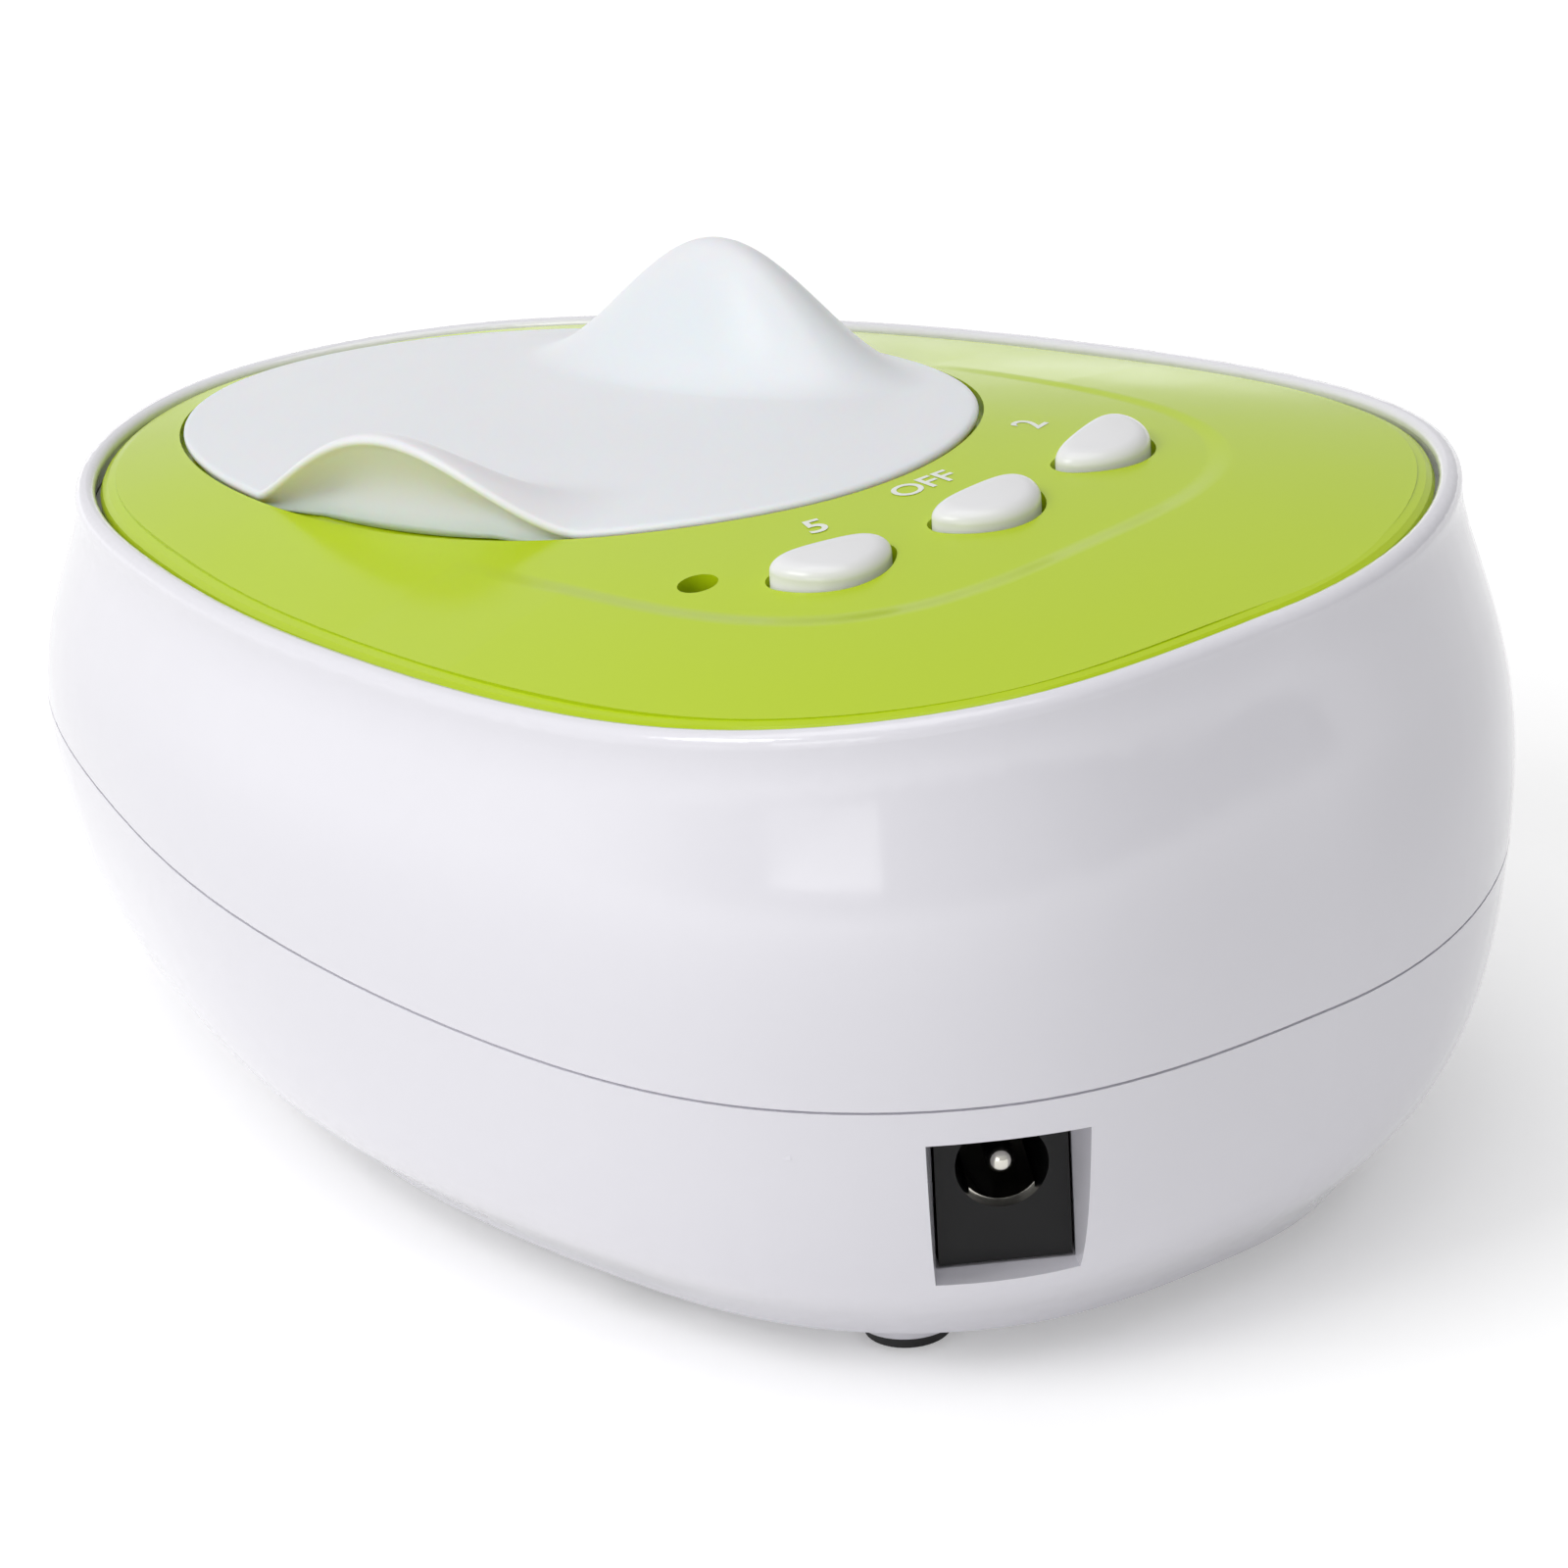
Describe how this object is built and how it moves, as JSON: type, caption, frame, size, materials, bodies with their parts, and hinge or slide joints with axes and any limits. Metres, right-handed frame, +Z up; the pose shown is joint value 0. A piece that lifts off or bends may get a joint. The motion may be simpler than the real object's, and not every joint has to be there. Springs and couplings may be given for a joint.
{
  "type": "ultrasonic contact lens cleaner",
  "caption": "Egg-shaped ultrasonic contact lens cleaner: lift-off lid carrying hinged lens baskets, steel tank, push buttons and a power inlet.",
  "frame": {"origin": "under the middle of the case, on the surface that the feet stand on", "axes": "+X toward the wide, tall end with the buttons, +Y across toward the side with the lid's bell-shaped grip, +Z up"},
  "size_m": [0.1208, 0.0828, 0.0569],
  "materials": {
    "basket_cover_left": "satin",
    "basket_cover_right": "satin",
    "board_screws": "satin",
    "button_board": "satin",
    "button_board_screws": "satin",
    "button_long": "gloss",
    "button_off": "gloss",
    "button_short": "gloss",
    "capacitors": "satin",
    "case_screws": "satin",
    "control_chip": "matte",
    "heat_sink": "satin",
    "hinge_pins": "satin",
    "indicator_led": "gloss",
    "jack_contact": "gloss",
    "jack_housing": "satin",
    "jack_pin": "gloss",
    "lens_holder": "satin",
    "lid": "satin",
    "link_cable": "matte",
    "link_connectors": "matte",
    "lower_shell": "gloss",
    "main_board": "satin",
    "plunger_long": "matte",
    "plunger_off": "matte",
    "plunger_short": "matte",
    "power_transistor": "matte",
    "rubber_feet": "matte",
    "switch_bodies": "matte",
    "tank": "satin",
    "tank_gasket": "matte",
    "top_panel": "gloss",
    "transducer": "matte",
    "transducer_leads": "matte",
    "transformer_core": "matte",
    "transformer_winding": "satin",
    "upper_shell": "gloss"
  },
  "bodies": {
    "housing": {"board_screws": "board_screws", "button_board": "button_board", "button_board_screws": "button_board_screws", "capacitors": "capacitors", "case_screws": "case_screws", "control_chip": "control_chip", "heat_sink": "heat_sink", "indicator_led": "indicator_led", "jack_contact": "jack_contact", "jack_housing": "jack_housing", "jack_pin": "jack_pin", "link_cable": "link_cable", "link_connectors": "link_connectors", "lower_shell": "lower_shell", "main_board": "main_board", "power_transistor": "power_transistor", "rubber_feet": "rubber_feet", "switch_bodies": "switch_bodies", "tank": "tank", "tank_gasket": "tank_gasket", "top_panel": "top_panel", "transducer": "transducer", "transducer_leads": "transducer_leads", "transformer_core": "transformer_core", "transformer_winding": "transformer_winding", "upper_shell": "upper_shell"},
    "lid_with_baskets": {"lid": "lid", "lens_holder": "lens_holder", "hinge_pins": "hinge_pins"},
    "left_cover": {"basket_cover_left": "basket_cover_left"},
    "right_cover": {"basket_cover_right": "basket_cover_right"},
    "long_key": {"button_long": "button_long", "plunger_long": "plunger_long"},
    "off_key": {"button_off": "button_off", "plunger_off": "plunger_off"},
    "short_key": {"button_short": "button_short", "plunger_short": "plunger_short"}
  },
  "joints": [
    {"name": "lid_lift", "type": "slide", "parent": "housing", "child": "lid_with_baskets", "axis": [0, 0, 1], "range_m": [0, 0.045]},
    {"name": "left_cover_hinge", "type": "hinge", "parent": "lid_with_baskets", "child": "left_cover", "pos_m": [-0.01761, 0, 0.0296], "axis": [0, 1, 0], "range_deg": [0, 85]},
    {"name": "right_cover_hinge", "type": "hinge", "parent": "lid_with_baskets", "child": "right_cover", "pos_m": [-0.01421, 0, 0.0296], "axis": [0, -1, 0], "range_deg": [0, 85]},
    {"name": "long_press", "type": "slide", "parent": "housing", "child": "long_key", "axis": [0, 0, -1], "range_m": [0, 0.0005], "stiffness_N_per_m": 1500, "springref_m": -0.0002},
    {"name": "off_press", "type": "slide", "parent": "housing", "child": "off_key", "axis": [0, 0, -1], "range_m": [0, 0.0005], "stiffness_N_per_m": 1500, "springref_m": -0.0002},
    {"name": "short_press", "type": "slide", "parent": "housing", "child": "short_key", "axis": [0, 0, -1], "range_m": [0, 0.0005], "stiffness_N_per_m": 1500, "springref_m": -0.0002}
  ]
}
